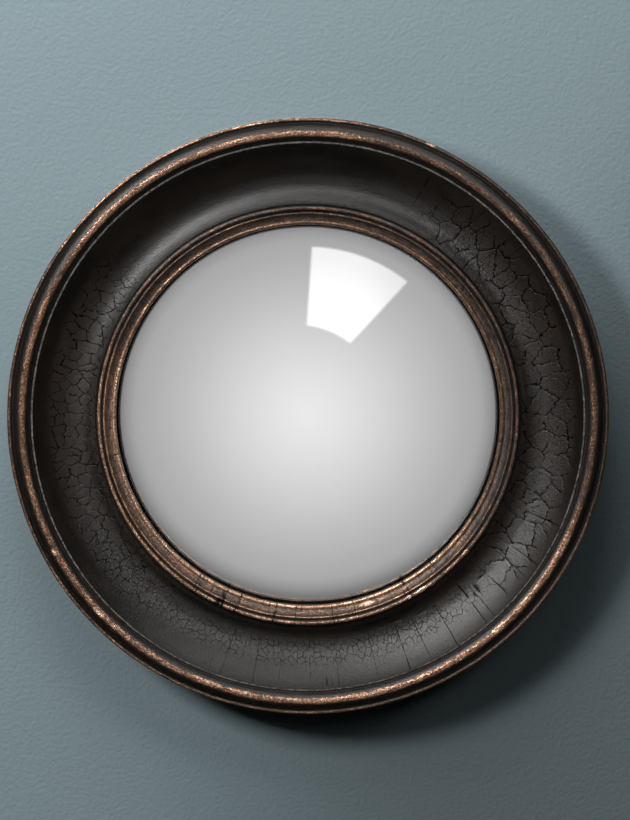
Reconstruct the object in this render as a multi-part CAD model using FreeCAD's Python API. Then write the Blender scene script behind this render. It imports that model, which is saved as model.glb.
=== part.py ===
import FreeCAD, Part
import math
import os

# Convex mirror in a round turned frame. Millimetres.
# The wall is the plane y = 0, the mirror faces -Y, and +Z is up. The origin is the centre of the
# wall plane. A section is drawn as (radius, depth): the distance from the Y axis, and the distance
# in front of the wall. A height is measured from the back of the piece it belongs to.

Vector = FreeCAD.Vector

# ---- slip ring, from the visible edge of the glass outwards ----
sight_radius = 121.3          # visible edge of the glass
slip_width = 12.9
sight_lip_width = 3.2
sight_lip_height = 4.6
slip_hollow_sag = 0.6         # how far the small hollow dips below its chord
narrow_reed_width = 2.0
narrow_reed_height = 7.0
reed_groove_width = 0.3
reed_groove_height = 5.5
wide_reed_width = 3.9
wide_reed_height = 8.25
slip_fit_gap = 0.1            # between slip and cove ring

# ---- cove ring ----
cove_width = 39.5             # the hollow
cove_low_place = 15.7         # from its inner edge to where it lies deepest
cove_low_height = 8.5
cove_inner_height = 14.0
slip_seat_height = 10.0       # ledge under the slip
fillet_width = 1.4            # thin flat fillet beside the bead
fillet_height = 23.4
fillet_edge_break = 0.4
ring_joint_gap = 0.2          # between cove ring and bead ring

# ---- bead ring ----
bead_width = 11.2             # large half-round bead
bead_height = 28.0
lip_groove_width = 0.5
lip_groove_height = 21.4
lip_width = 2.9               # thin half-round lip
lip_height = 24.0

# ---- glass and what holds it ----
glass_cover = 5.7             # how far the glass runs under the slip
glass_thickness = 3.0
dome_radius = 376.0           # front of the glass
silver_thickness = 0.3        # silvering with its paint
silver_margin = 0.4           # bare rim of the glass
front_felt_thickness = 1.0
back_felt_thickness = 1.0
felt_gap = 0.1                # each side of a felt
felt_sight_margin = 0.8       # felt stays this far behind the visible edge
felt_outer_margin = 0.4
seat_rim_gap = 0.2            # the domed seat is this much wider than the glass
spacer_sight_margin = 0.3     # spacer ring stays this far behind the visible edge
spacer_fit_gap = 0.2
cork_count = 8
cork_thickness = 2.8
cork_angle = 9.0              # degrees of the circle
cork_fit_gap = 0.1
cork_end_gap = 0.3
cork_first_angle = 22.5

# ---- back ring, board and wall felt ----
wall_felt_thickness = 1.5
wall_felt_margin = 2.0        # felt stays this far inside the land it is glued to
recess_floor = 7.0            # depth of the recess for the hardware
board_thickness = 3.0
board_fit_gap = 0.4
board_ledge_width = 6.0
board_ledge_thickness = 2.0
side_inset = 5.0              # how much smaller the back is than the lip
back_edge_break = 1.0         # chamfer of the back's outer edge

# ---- turn buttons ----
button_count = 4
button_first_angle = 45.0
button_pivot_offset = 10.0    # from the board's rebate to the pivot
button_length = 34.0
button_width = 11.0
button_thickness = 1.5
button_edge_break = 0.3
button_running_gap = 0.05     # under and over the button
button_sweep_gap = 4.0        # from its turning circle to the recess wall
pivot_clearance = 0.1         # radial, round the screw

# ---- hanger ----
hinge_wall_gap = 5.0          # from the ring's pivot up to the recess wall
ring_wire_radius = 1.2
ring_half_width = 9.0         # to the middle of the wire
ring_side_length = 3.0
ring_corner_radius = 2.0
eye_clearance = 0.1           # radial, round the wire
eye_curl_angle = 290.0
strap_thickness = 1.0
strap_width = 13.6
strap_end_gap = 1.2           # from the strap's lower end to the board's rebate
strap_corner_radius = 4.5
upper_strap_screw_drop = 7.0  # from the pivot
lower_strap_screw_rise = 6.0  # from the strap's lower end
pocket_side_gap = 2.8         # round the ring, in the pocket for it and the wall hook
pocket_end_gap = 3.3
pocket_corner_radius = 5.0
felt_notch_margin = 2.0

# ---- screws and pins ----
screw_hole_gap = 0.05         # radial, round a screw or pin
screw_tip_length = 3.0
cross_width = 0.9             # cross recess in a head
cross_span = 3.6
cross_depth = 1.0
pan_crown_height = 0.8
pivot_screw = {"shank": 1.75, "head": 3.6, "head_height": 1.9, "length": 10.0}
strap_screw = {"shank": 1.5, "head": 3.0, "head_height": 1.7, "length": 11.0}
bead_screw = {"shank": 1.9, "head": 3.6, "head_height": 2.2, "length": 28.0}
cove_screw = {"shank": 1.75, "head": 3.4, "head_height": 2.0, "length": 12.0}
frame_screw_count = 8
frame_screw_first_angle = 22.5
bead_screw_inset = 4.1        # from the inner wall of the bead ring
bead_screw_sink = 0.3
cove_screw_inset = 7.0        # from the recess wall
slip_pin = {"shank": 0.6, "head": 1.1, "head_height": 0.8, "length": 15.0}
slip_pin_inset = 2.1          # from the outer side of the slip
slip_pin_count = 8
slip_pin_first_angle = 0.0

# ---- radii, worked out from the sight edge outwards ----
slip_outer_radius = sight_radius + slip_width
slip_wall_radius = slip_outer_radius + slip_fit_gap
cove_low_radius = slip_wall_radius + cove_low_place
cove_start_radius = slip_wall_radius + cove_width
cove_outer_radius = cove_start_radius + fillet_width
bead_inner_radius = cove_outer_radius + ring_joint_gap
bead_outer_radius = bead_inner_radius + bead_width
lip_inner_radius = bead_outer_radius + lip_groove_width
frame_radius = lip_inner_radius + lip_width
back_edge_radius = frame_radius - side_inset
glass_radius = sight_radius + glass_cover
rebate_radius = glass_radius + cork_thickness + 2 * cork_fit_gap
board_rebate_radius = rebate_radius + board_ledge_width
board_radius = board_rebate_radius - board_fit_gap
button_pivot_radius = board_rebate_radius + button_pivot_offset
recess_radius = button_pivot_radius + button_length / 2 + button_sweep_gap

# ---- depths, worked out from the wall forwards ----
board_front = recess_floor + board_thickness
ring_joint_depth = board_front + board_ledge_thickness
slip_seat_depth = ring_joint_depth + slip_seat_height
fillet_top = ring_joint_depth + fillet_height
lip_section = lip_width / 2
lip_middle = ring_joint_depth + lip_height - lip_section
bead_section = bead_width / 2
bead_middle = ring_joint_depth + bead_height - bead_section
button_face = recess_floor - button_running_gap - button_thickness
pivot_seat = button_face - button_running_gap
strap_back = recess_floor - strap_thickness
bead_screw_head = wall_felt_thickness + bead_screw_sink

# ---- spheres of the dome, all about one centre ----
seat_sphere = dome_radius + front_felt_thickness
glass_back_sphere = dome_radius - glass_thickness
silver_back_sphere = glass_back_sphere - silver_thickness
spacer_sphere = silver_back_sphere - back_felt_thickness
seat_outer_radius = glass_radius + seat_rim_gap
dome_centre = slip_seat_depth - math.sqrt(seat_sphere ** 2 - seat_outer_radius ** 2)

# ---- hanger, worked out ----
eye_inner_radius = ring_wire_radius + eye_clearance
eye_outer_radius = eye_inner_radius + strap_thickness
hinge_depth = recess_floor - eye_outer_radius
hinge_height = recess_radius - hinge_wall_gap
ring_length = ring_corner_radius + ring_side_length + ring_half_width
strap_lower_end = board_rebate_radius + strap_end_gap
pocket_half_width = ring_half_width + ring_wire_radius + pocket_side_gap
pocket_top = hinge_height + ring_length + ring_wire_radius + pocket_end_gap


# ---- drawing helpers ----
def section_point(radius, depth):
    return Vector(radius, -depth, 0)


def line(start, end):
    return Part.LineSegment(section_point(*start), section_point(*end)).toShape()


def arc(start, middle, end):
    return Part.Arc(section_point(*start), section_point(*middle), section_point(*end)).toShape()


def chain(*points):
    return [line(points[i], points[i + 1]) for i in range(len(points) - 1)]


def half_round(outer_radius, middle_depth, section_radius):
    """Half circle that bulges to the front, drawn from its outer end inwards."""
    centre = outer_radius - section_radius
    return arc((outer_radius, middle_depth), (centre, middle_depth + section_radius),
               (centre - section_radius, middle_depth))


def hollow_from_low_point(low, end):
    """Arc that lies flat at its low point and rises to its end."""
    run = end[0] - low[0]
    rise = end[1] - low[1]
    radius = (run * run + rise * rise) / (2 * rise)
    half_angle = math.atan2(rise, abs(run))
    across = math.copysign(radius * math.sin(half_angle), run)
    return arc(low, (low[0] + across, low[1] + radius * (1 - math.cos(half_angle))), end)


def dome_depth(sphere_radius, radius):
    return dome_centre + math.sqrt(sphere_radius ** 2 - radius ** 2)


def dome_arc(sphere_radius, start_radius, end_radius):
    radii = (start_radius, (start_radius + end_radius) / 2, end_radius)
    return arc(*[(radius, dome_depth(sphere_radius, radius)) for radius in radii])


def turned(edges, degrees=360.0, start_degrees=0.0):
    """Solid turned about the Y axis from a closed section."""
    face = Part.Face(Part.Wire(Part.__sortEdges__(edges)))
    solid = face.revolve(Vector(0, 0, 0), Vector(0, 1, 0), degrees)
    solid.rotate(Vector(0, 0, 0), Vector(0, 1, 0), start_degrees)
    return solid


def turned_outline(points, degrees=360.0, start_degrees=0.0):
    return turned(chain(*points, points[0]), degrees, start_degrees)


def side_radius(depth):
    """Radius of the sloping outer side of the frame at a depth."""
    share = (depth - wall_felt_thickness) / (lip_middle - wall_felt_thickness)
    return back_edge_radius + (frame_radius - back_edge_radius) * share


def on_circle(radius, count, first_angle):
    """Points (x, z) spaced evenly round a circle, as seen from the front."""
    angles = [math.radians(first_angle + 360.0 * i / count) for i in range(count)]
    return [(radius * math.cos(a), radius * math.sin(a)) for a in angles]


def rod(x, z, radius, start_depth, end_depth):
    return Part.makeCylinder(radius, end_depth - start_depth,
                             Vector(x, -start_depth, z), Vector(0, -1, 0))


def taper(x, z, start_radius, end_radius, start_depth, end_depth):
    return Part.makeCone(start_radius, end_radius, end_depth - start_depth,
                         Vector(x, -start_depth, z), Vector(0, -1, 0))


def block(x_low, x_high, depth_low, depth_high, z_low, z_high):
    return Part.makeBox(x_high - x_low, depth_high - depth_low, z_high - z_low,
                        Vector(x_low, -depth_high, z_low))


# ---- screws, pins and their holes ----
def cross_recess(x, z, depth):
    half_span = cross_span / 2
    half_width = cross_width / 2
    end = depth + cross_depth
    wide = block(x - half_span, x + half_span, depth, end, z - half_width, z + half_width)
    tall = block(x - half_width, x + half_width, depth, end, z - half_span, z + half_span)
    return wide.fuse(tall)


def shank_with_tip(size, x, z, start_depth):
    end_depth = start_depth + size["length"]
    tip_start = end_depth - screw_tip_length
    shank = rod(x, z, size["shank"], start_depth, tip_start)
    return shank.fuse(taper(x, z, size["shank"], 0.0, tip_start, end_depth))


def countersunk_screw(size, x, z, head_depth):
    """Screw with a flat head whose top lies at head_depth; its length counts from there."""
    head = taper(x, z, size["head"], size["shank"], head_depth, head_depth + size["head_height"])
    screw = head.fuse(shank_with_tip(size, x, z, head_depth))
    return screw.cut(cross_recess(x, z, head_depth)).removeSplitter()


def countersunk_hole(size, x, z, head_depth):
    gap = screw_hole_gap
    head_end = head_depth + size["head_height"]
    head = taper(x, z, size["head"] + gap, size["shank"] + gap, head_depth, head_end)
    return head.fuse(rod(x, z, size["shank"] + gap, head_depth, head_depth + size["length"] + gap))


def pan_screw(size, x, z, seat_depth):
    """Screw with a domed head that bears at seat_depth; its length counts from there."""
    top = seat_depth - size["head_height"]
    head = rod(x, z, size["head"], top, seat_depth)
    rim = [edge for edge in head.Edges
           if isinstance(edge.Curve, Part.Circle) and abs(edge.Curve.Center.y + top) < 1e-6]
    head = head.makeFillet(pan_crown_height, rim)
    screw = head.fuse(shank_with_tip(size, x, z, seat_depth))
    return screw.cut(cross_recess(x, z, top)).removeSplitter()


def round_hole(size, x, z, start_depth, end_depth):
    return rod(x, z, size["shank"] + screw_hole_gap, start_depth, end_depth)


def pin(size, x, z, head_depth):
    head_end = head_depth + size["head_height"]
    head = rod(x, z, size["head"], head_depth, head_end)
    return head.fuse(rod(x, z, size["shank"], head_end, head_depth + size["length"])).removeSplitter()


def pin_hole(size, x, z, head_depth):
    gap = screw_hole_gap
    head_end = head_depth + size["head_height"]
    head = rod(x, z, size["head"] + gap, head_depth, head_end)
    return head.fuse(rod(x, z, size["shank"] + gap, head_end, head_depth + size["length"] + gap))


def cut_all(solid, tools):
    for tool in tools:
        solid = solid.cut(tool)
    return solid


bead_screw_radius = bead_inner_radius + bead_screw_inset
cove_screw_radius = recess_radius - cove_screw_inset
slip_pin_radius = slip_outer_radius - slip_pin_inset
bead_screw_places = on_circle(bead_screw_radius, frame_screw_count, frame_screw_first_angle)
cove_screw_places = on_circle(cove_screw_radius, frame_screw_count, frame_screw_first_angle)
slip_pin_places = on_circle(slip_pin_radius, slip_pin_count, slip_pin_first_angle)
button_places = on_circle(button_pivot_radius, button_count, button_first_angle)
strap_screw_places = [(0.0, hinge_height - upper_strap_screw_drop),
                      (0.0, strap_lower_end + lower_strap_screw_rise)]


def bead_screw_holes():
    return [countersunk_hole(bead_screw, x, z, bead_screw_head) for x, z in bead_screw_places]


def bead_screw_sinks():
    """Short wells above the sunk heads, out through the back of the ring."""
    well = bead_screw["head"] + screw_hole_gap
    return [rod(x, z, well, 0.0, bead_screw_head) for x, z in bead_screw_places]


def recess_screw_holes():
    holes = [countersunk_hole(cove_screw, x, z, recess_floor) for x, z in cove_screw_places]
    holes += [round_hole(pivot_screw, x, z, pivot_seat, pivot_seat + pivot_screw["length"])
              for x, z in button_places]
    holes += [countersunk_hole(strap_screw, x, z, strap_back) for x, z in strap_screw_places]
    return holes


def slip_pin_holes():
    return [pin_hole(slip_pin, x, z, board_front) for x, z in slip_pin_places]


# ---- the frame ----
def bead_ring():
    edges = chain((bead_inner_radius, ring_joint_depth),
                  (side_radius(ring_joint_depth), ring_joint_depth), (frame_radius, lip_middle))
    edges.append(half_round(frame_radius, lip_middle, lip_section))
    groove_floor = ring_joint_depth + lip_groove_height
    edges += chain((lip_inner_radius, lip_middle), (lip_inner_radius, groove_floor),
                   (bead_outer_radius, groove_floor), (bead_outer_radius, bead_middle))
    edges.append(half_round(bead_outer_radius, bead_middle, bead_section))
    edges += chain((bead_inner_radius, bead_middle), (bead_inner_radius, ring_joint_depth))
    return cut_all(turned(edges), bead_screw_holes())


def cove_ring():
    low = (cove_low_radius, ring_joint_depth + cove_low_height)
    cove_start = (cove_start_radius, fillet_top)
    cove_end = (slip_wall_radius, ring_joint_depth + cove_inner_height)
    edges = chain((rebate_radius, ring_joint_depth), (cove_outer_radius, ring_joint_depth),
                  (cove_outer_radius, fillet_top - fillet_edge_break),
                  (cove_outer_radius - fillet_edge_break, fillet_top), cove_start)
    edges += [hollow_from_low_point(low, cove_start), hollow_from_low_point(low, cove_end)]
    edges += chain(cove_end, (slip_wall_radius, slip_seat_depth), (rebate_radius, slip_seat_depth),
                   (rebate_radius, ring_joint_depth))
    return cut_all(turned(edges), recess_screw_holes() + slip_pin_holes())


def slip_hollow(outer_end, inner_end):
    """Small concave arc between two ends, dipping below their chord."""
    run = outer_end[0] - inner_end[0]
    rise = outer_end[1] - inner_end[1]
    dip = slip_hollow_sag / math.hypot(run, rise)
    middle_radius = (outer_end[0] + inner_end[0]) / 2 + dip * rise
    middle_depth = (outer_end[1] + inner_end[1]) / 2 - dip * run
    return arc(outer_end, (middle_radius, middle_depth), inner_end)


def slip_ring():
    wide_section = wide_reed_width / 2
    wide_middle = slip_seat_depth + wide_reed_height - wide_section
    wide_inner = slip_outer_radius - wide_reed_width
    narrow_section = narrow_reed_width / 2
    narrow_middle = slip_seat_depth + narrow_reed_height - narrow_section
    narrow_outer = wide_inner - reed_groove_width
    narrow_inner = narrow_outer - narrow_reed_width
    sight_section = sight_lip_width / 2
    sight_middle = slip_seat_depth + sight_lip_height - sight_section
    sight_outer = sight_radius + sight_lip_width
    groove_floor = slip_seat_depth + reed_groove_height
    edges = chain((seat_outer_radius, slip_seat_depth), (slip_outer_radius, slip_seat_depth),
                  (slip_outer_radius, wide_middle))
    edges.append(half_round(slip_outer_radius, wide_middle, wide_section))
    edges += chain((wide_inner, wide_middle), (wide_inner, groove_floor),
                   (narrow_outer, groove_floor), (narrow_outer, narrow_middle))
    edges.append(half_round(narrow_outer, narrow_middle, narrow_section))
    edges.append(slip_hollow((narrow_inner, narrow_middle), (sight_outer, sight_middle)))
    edges.append(half_round(sight_outer, sight_middle, sight_section))
    edges += chain((sight_radius, sight_middle), (sight_radius, dome_depth(seat_sphere, sight_radius)))
    edges.append(dome_arc(seat_sphere, sight_radius, seat_outer_radius))
    return cut_all(turned(edges), slip_pin_holes())


def hook_pocket():
    """Milled pocket at the top of the back, for the ring and the wall hook."""
    pocket = block(-pocket_half_width, pocket_half_width, 0.0, recess_floor, hinge_height, pocket_top)
    corners = [edge for edge in pocket.Edges
               if abs(edge.CenterOfMass.z - pocket_top) < 1e-6
               and abs(abs(edge.CenterOfMass.x) - pocket_half_width) < 1e-6]
    return pocket.makeFillet(pocket_corner_radius, corners)


def back_ring():
    body = turned_outline([
        (recess_radius, wall_felt_thickness),
        (back_edge_radius - back_edge_break, wall_felt_thickness),
        (side_radius(wall_felt_thickness + back_edge_break), wall_felt_thickness + back_edge_break),
        (side_radius(ring_joint_depth), ring_joint_depth),
        (rebate_radius, ring_joint_depth),
        (rebate_radius, board_front),
        (board_rebate_radius, board_front),
        (board_rebate_radius, recess_floor),
        (recess_radius, recess_floor)])
    holes = bead_screw_holes() + bead_screw_sinks() + recess_screw_holes() + slip_pin_holes()
    return cut_all(body.cut(hook_pocket()), holes)


def wall_felt():
    inner = recess_radius + wall_felt_margin
    outer = back_edge_radius - wall_felt_margin
    notch = pocket_half_width + felt_notch_margin
    ring = turned_outline([(inner, 0.0), (outer, 0.0),
                           (outer, wall_felt_thickness), (inner, wall_felt_thickness)])
    return ring.cut(block(-notch, notch, 0.0, wall_felt_thickness, 0.0, frame_radius))


# ---- the glass and what holds it ----
def dome_shell(front_sphere, back_sphere, rim_radius):
    edges = [dome_arc(front_sphere, 0.0, rim_radius), dome_arc(back_sphere, 0.0, rim_radius)]
    edges += chain((0.0, dome_depth(back_sphere, 0.0)), (0.0, dome_depth(front_sphere, 0.0)))
    edges += chain((rim_radius, dome_depth(back_sphere, rim_radius)),
                   (rim_radius, dome_depth(front_sphere, rim_radius)))
    return turned(edges)


def dome_strip(front_sphere, back_sphere, inner_radius, outer_radius):
    edges = [dome_arc(sphere, inner_radius, outer_radius) for sphere in (front_sphere, back_sphere)]
    for radius in (inner_radius, outer_radius):
        edges += chain((radius, dome_depth(back_sphere, radius)),
                       (radius, dome_depth(front_sphere, radius)))
    return turned(edges)


def convex_glass():
    return dome_shell(dome_radius, glass_back_sphere, glass_radius)


def silver_coat():
    return dome_shell(glass_back_sphere, silver_back_sphere, glass_radius - silver_margin)


def front_felt():
    return dome_strip(seat_sphere - felt_gap, dome_radius + felt_gap, sight_radius + felt_sight_margin,
                      glass_radius - felt_outer_margin)


def back_felt():
    return dome_strip(silver_back_sphere - felt_gap, spacer_sphere + felt_gap,
                      sight_radius + felt_sight_margin, glass_radius - silver_margin - felt_outer_margin)


def edge_corks():
    inner = glass_radius + cork_fit_gap
    outer = rebate_radius - cork_fit_gap
    low = dome_depth(spacer_sphere, inner) + cork_end_gap
    high = slip_seat_depth - cork_end_gap
    outline = [(inner, low), (outer, low), (outer, high), (inner, high)]
    return Part.makeCompound([
        turned_outline(outline, cork_angle, cork_first_angle - cork_angle / 2 + 360.0 * i / cork_count)
        for i in range(cork_count)])


def spacer_ring():
    inner = sight_radius + spacer_sight_margin
    outer = rebate_radius - spacer_fit_gap
    edges = chain((inner, dome_depth(spacer_sphere, inner)), (inner, board_front), (outer, board_front),
                  (outer, dome_depth(spacer_sphere, outer)))
    edges.append(dome_arc(spacer_sphere, inner, outer))
    return turned(edges)


def backing_board():
    return rod(0.0, 0.0, board_radius, recess_floor, board_front)


# ---- turn buttons ----
def turn_button(x, z):
    """Oblong steel button, drawn lying along the radius through its pivot."""
    half_round_radius = button_width / 2
    half_straight = button_length / 2 - half_round_radius
    front = recess_floor - button_running_gap
    plate = block(-half_straight, half_straight, button_face, front, -half_round_radius, half_round_radius)
    for end in (-half_straight, half_straight):
        plate = plate.fuse(rod(end, 0.0, half_round_radius, button_face, front))
    plate = plate.removeSplitter()
    rim = [edge for edge in plate.Edges if abs(edge.BoundBox.YMin - edge.BoundBox.YMax) < 1e-6]
    plate = plate.makeFillet(button_edge_break, rim)
    plate = plate.cut(rod(0.0, 0.0, pivot_screw["shank"] + pivot_clearance, button_face, front))
    plate.rotate(Vector(0, 0, 0), Vector(0, 1, 0), -math.degrees(math.atan2(z, x)))
    plate.translate(Vector(x, 0, z))
    return plate


def turn_button_screws():
    return Part.makeCompound([pan_screw(pivot_screw, x, z, pivot_seat) for x, z in button_places])


# ---- hanger ----
def hinge_point(x, drop):
    return Vector(x, -hinge_depth, hinge_height - drop)


def hanger_ring():
    """D-ring of round wire, hanging down from its straight bar."""
    half = ring_half_width
    corner = ring_corner_radius
    side_end = corner + ring_side_length
    diagonal = corner * (1 - math.sqrt(0.5))
    bar_end = half - corner
    path = Part.Wire([
        Part.LineSegment(hinge_point(-bar_end, 0), hinge_point(bar_end, 0)).toShape(),
        Part.Arc(hinge_point(bar_end, 0), hinge_point(half - diagonal, diagonal),
                 hinge_point(half, corner)).toShape(),
        Part.LineSegment(hinge_point(half, corner), hinge_point(half, side_end)).toShape(),
        Part.Arc(hinge_point(half, side_end), hinge_point(0, side_end + half),
                 hinge_point(-half, side_end)).toShape(),
        Part.LineSegment(hinge_point(-half, side_end), hinge_point(-half, corner)).toShape(),
        Part.Arc(hinge_point(-half, corner), hinge_point(-half + diagonal, diagonal),
                 hinge_point(-bar_end, 0)).toShape()])
    wire = Part.Wire(Part.makeCircle(ring_wire_radius, hinge_point(-bar_end, 0), Vector(1, 0, 0)))
    return Part.Solid(path.makePipeShell([wire], True, False).Shells[0])


def eye_point(radius, degrees):
    """Point round the pivot; 0 degrees is towards the recess floor, 90 is up."""
    angle = math.radians(degrees)
    return Vector(-strap_width / 2, -(hinge_depth + radius * math.cos(angle)),
                  hinge_height + radius * math.sin(angle))


def hanger_strap():
    """Flat strap whose upper end is rolled round the ring's bar."""
    half_curl = eye_curl_angle / 2
    lower_back = Vector(-strap_width / 2, -strap_back, strap_lower_end)
    lower_floor = Vector(-strap_width / 2, -recess_floor, strap_lower_end)
    outline = [
        Part.LineSegment(lower_floor, eye_point(eye_outer_radius, 0)).toShape(),
        Part.Arc(eye_point(eye_outer_radius, 0), eye_point(eye_outer_radius, half_curl),
                 eye_point(eye_outer_radius, eye_curl_angle)).toShape(),
        Part.LineSegment(eye_point(eye_outer_radius, eye_curl_angle),
                         eye_point(eye_inner_radius, eye_curl_angle)).toShape(),
        Part.Arc(eye_point(eye_inner_radius, eye_curl_angle), eye_point(eye_inner_radius, half_curl),
                 eye_point(eye_inner_radius, 0)).toShape(),
        Part.LineSegment(eye_point(eye_inner_radius, 0), lower_back).toShape(),
        Part.LineSegment(lower_back, lower_floor).toShape()]
    strap = Part.Face(Part.Wire(outline)).extrude(Vector(strap_width, 0, 0))
    corners = [edge for edge in strap.Edges
               if abs(edge.BoundBox.ZMax - strap_lower_end) < 1e-6 and edge.BoundBox.XLength < 1e-6]
    strap = strap.makeFillet(strap_corner_radius, corners)
    holes = [countersunk_hole(strap_screw, x, z, strap_back) for x, z in strap_screw_places]
    return cut_all(strap, holes)


def hanger_screws():
    return Part.makeCompound([countersunk_screw(strap_screw, x, z, strap_back)
                              for x, z in strap_screw_places])


# ---- frame screws and pins ----
def bead_ring_screws():
    return Part.makeCompound([countersunk_screw(bead_screw, x, z, bead_screw_head)
                              for x, z in bead_screw_places])


def cove_ring_screws():
    return Part.makeCompound([countersunk_screw(cove_screw, x, z, recess_floor)
                              for x, z in cove_screw_places])


def slip_pins():
    return Part.makeCompound([pin(slip_pin, x, z, board_front) for x, z in slip_pin_places])


# ---- write one file per piece ----
makers = [bead_ring, cove_ring, slip_ring, back_ring, wall_felt, convex_glass, silver_coat, front_felt,
          back_felt, edge_corks, spacer_ring, backing_board, turn_button_screws, hanger_strap, hanger_ring,
          hanger_screws, bead_ring_screws, cove_ring_screws, slip_pins]
pieces = {maker.__name__: maker() for maker in makers}
for number, place in enumerate(button_places, 1):
    pieces["turn_button_%d" % number] = turn_button(*place)

os.makedirs("parts", exist_ok=True)
for name, shape in pieces.items():
    shape.exportStep("parts/" + name + ".step")
    state = "valid" if shape.isValid() else "not valid"
    print(name, len(shape.Solids), "solids", round(shape.Volume), "mm3", state)
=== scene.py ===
import math

import bpy
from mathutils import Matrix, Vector


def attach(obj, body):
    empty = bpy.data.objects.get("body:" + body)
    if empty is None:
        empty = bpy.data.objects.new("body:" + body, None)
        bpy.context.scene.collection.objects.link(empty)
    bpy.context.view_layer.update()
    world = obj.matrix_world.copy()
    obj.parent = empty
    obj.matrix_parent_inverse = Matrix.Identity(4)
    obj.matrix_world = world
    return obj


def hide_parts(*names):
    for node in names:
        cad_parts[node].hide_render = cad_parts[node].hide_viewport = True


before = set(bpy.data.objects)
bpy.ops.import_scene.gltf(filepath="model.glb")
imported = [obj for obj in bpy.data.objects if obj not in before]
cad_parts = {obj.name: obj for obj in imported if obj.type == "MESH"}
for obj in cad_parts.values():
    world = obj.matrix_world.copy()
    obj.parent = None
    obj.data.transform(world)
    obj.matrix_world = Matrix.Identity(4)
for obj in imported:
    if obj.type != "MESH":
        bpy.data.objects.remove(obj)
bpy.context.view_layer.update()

mm = 0.001
print("frame loaded,", len(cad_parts), "nodes")

# Sections are drawn as (radius, depth) in mm: the distance from the Y axis, and the distance in
# front of the wall. Angles round the mirror count from the right, anticlockwise as seen in front.


# selection and small tools

def clearSelection():
    if bpy.context.object and bpy.context.object.mode != "OBJECT":
        bpy.ops.object.mode_set(mode="OBJECT")
    bpy.ops.object.select_all(action="DESELECT")


def activate(obj):
    clearSelection()
    obj.select_set(True)
    bpy.context.view_layer.objects.active = obj


def selectAll():
    bpy.ops.mesh.select_all(action="SELECT")


def finishMesh(obj, angle):
    activate(obj)
    bpy.ops.object.transform_apply(location=True, rotation=True, scale=True)
    bpy.ops.object.shade_smooth_by_angle(angle=math.radians(angle))
    clearSelection()


def curve(centre, radius, startAngle, endAngle, steps):
    # 0 degrees points outwards, 90 to the front
    points = []
    for step in range(steps + 1):
        a = math.radians(startAngle + (endAngle - startAngle) * step / steps)
        points.append((centre[0] + radius * math.cos(a), centre[1] + radius * math.sin(a)))
    return points


def straight(start, end, steps):
    return [(start[0] + (end[0] - start[0]) * s / steps, start[1] + (end[1] - start[1]) * s / steps)
            for s in range(steps + 1)]


def joinPoints(*runs):
    # one outline from several runs, with the shared ends taken once
    outline = []
    for run in runs:
        for point in run:
            if not outline or math.dist(point, outline[-1]) > 1e-4:
                outline.append(point)
    return outline


def drawSection(name, outline):
    # a single vertex, pulled along the outline by extruding it
    clearSelection()
    bpy.ops.mesh.primitive_plane_add(size=1 * mm, location=(0, 0, 0))
    obj = bpy.context.object
    obj.name = obj.data.name = name
    bpy.ops.object.mode_set(mode="EDIT")
    selectAll()
    bpy.ops.mesh.merge(type="CENTER")
    bpy.ops.transform.translate(value=(outline[0][0] * mm, -outline[0][1] * mm, 0))
    for here, there in zip(outline, outline[1:]):
        step = ((there[0] - here[0]) * mm, (here[1] - there[1]) * mm, 0)
        bpy.ops.mesh.extrude_region_move(TRANSFORM_OT_translate={"value": step})
    return obj


def turnSection(name, outline, steps, closed=True):
    # the section spun an eighth of the way round the Y axis, and the rest copied from that
    obj = drawSection(name, outline + [outline[0]] if closed else outline)
    selectAll()
    bpy.ops.mesh.remove_doubles(threshold=0.002 * mm)
    selectAll()
    bpy.ops.mesh.spin(steps=steps // 8, angle=math.pi / 4, center=(0, 0, 0), axis=(0, 1, 0))
    for turn in (math.pi / 4, math.pi / 2, math.pi):
        selectAll()
        bpy.ops.mesh.duplicate()
        bpy.ops.transform.rotate(value=turn, orient_axis="Y", orient_type="GLOBAL",
                                 center_override=(0, 0, 0))
    selectAll()
    bpy.ops.mesh.remove_doubles(threshold=0.002 * mm)
    bpy.ops.mesh.normals_make_consistent(inside=False)
    bpy.ops.object.mode_set(mode="OBJECT")
    return obj


# node tools, for shader, world and geometry trees alike

def addNode(tree, kind, **settings):
    node = tree.nodes.new(kind)
    for key, value in settings.items():
        setattr(node, key, value)
    return node


def feed(tree, socket, value):
    if isinstance(value, bpy.types.NodeSocket):
        tree.links.new(value, socket)
    elif value is not None:
        socket.default_value = value


def calc(tree, operation, first, second=None, third=None, clamp=False):
    node = addNode(tree, "ShaderNodeMath", operation=operation, use_clamp=clamp)
    for socket, value in zip(node.inputs, (first, second, third)):
        feed(tree, socket, value)
    return node.outputs[0]


def times(tree, first, second):
    return calc(tree, "MULTIPLY", first, second)


def timesPlus(tree, first, second, third):
    return calc(tree, "MULTIPLY_ADD", first, second, third)


def vectorCalc(tree, operation, first, second=None):
    node = addNode(tree, "ShaderNodeVectorMath", operation=operation)
    feed(tree, node.inputs[0], first)
    feed(tree, node.inputs[1], second)
    return node.outputs["Value"] if operation in ("DOT_PRODUCT", "LENGTH") else node.outputs["Vector"]


def dot(tree, first, second):
    return vectorCalc(tree, "DOT_PRODUCT", first, second)


def scaled(tree, vector, factor):
    node = addNode(tree, "ShaderNodeVectorMath", operation="SCALE")
    feed(tree, node.inputs[0], vector)
    feed(tree, node.inputs["Scale"], factor)
    return node.outputs["Vector"]


def objectPlace(tree):
    return addNode(tree, "ShaderNodeTexCoord").outputs["Object"]


def split(tree, vector):
    node = addNode(tree, "ShaderNodeSeparateXYZ")
    feed(tree, node.inputs[0], vector)
    return node.outputs


def combine(tree, x, y, z):
    node = addNode(tree, "ShaderNodeCombineXYZ")
    for socket, value in zip(node.inputs, (x, y, z)):
        feed(tree, socket, value)
    return node.outputs[0]


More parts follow.
